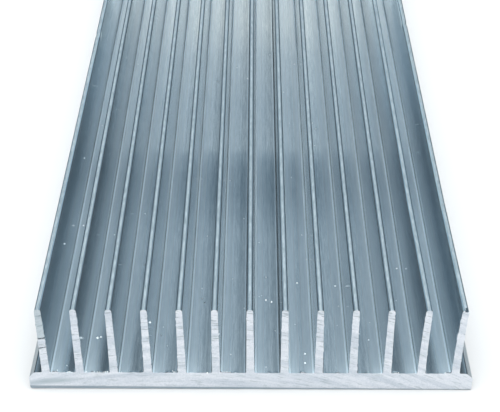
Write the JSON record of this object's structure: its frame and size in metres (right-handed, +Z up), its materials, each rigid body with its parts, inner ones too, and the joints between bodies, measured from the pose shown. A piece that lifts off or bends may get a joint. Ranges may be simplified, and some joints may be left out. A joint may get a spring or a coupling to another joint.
{
  "type": "extruded heat sink",
  "caption": "Wide extruded aluminium heat sink: a flat base plate with a row of straight tapered fins on top, sawn square at both ends, that sheds heat to the air.",
  "frame": {"origin": "middle of the base plate's underside", "axes": "+X across the fins, +Y along the extrusion, +Z up from the base plate to the fin tips"},
  "size_m": [0.15, 0.3, 0.0354],
  "materials": {
    "mill_aluminium": "satin mill finish with fine lines along the extrusion and bright saw-cut ends"
  },
  "bodies": {
    "root": {"heat_sink": "mill_aluminium"}
  },
  "joints": []
}
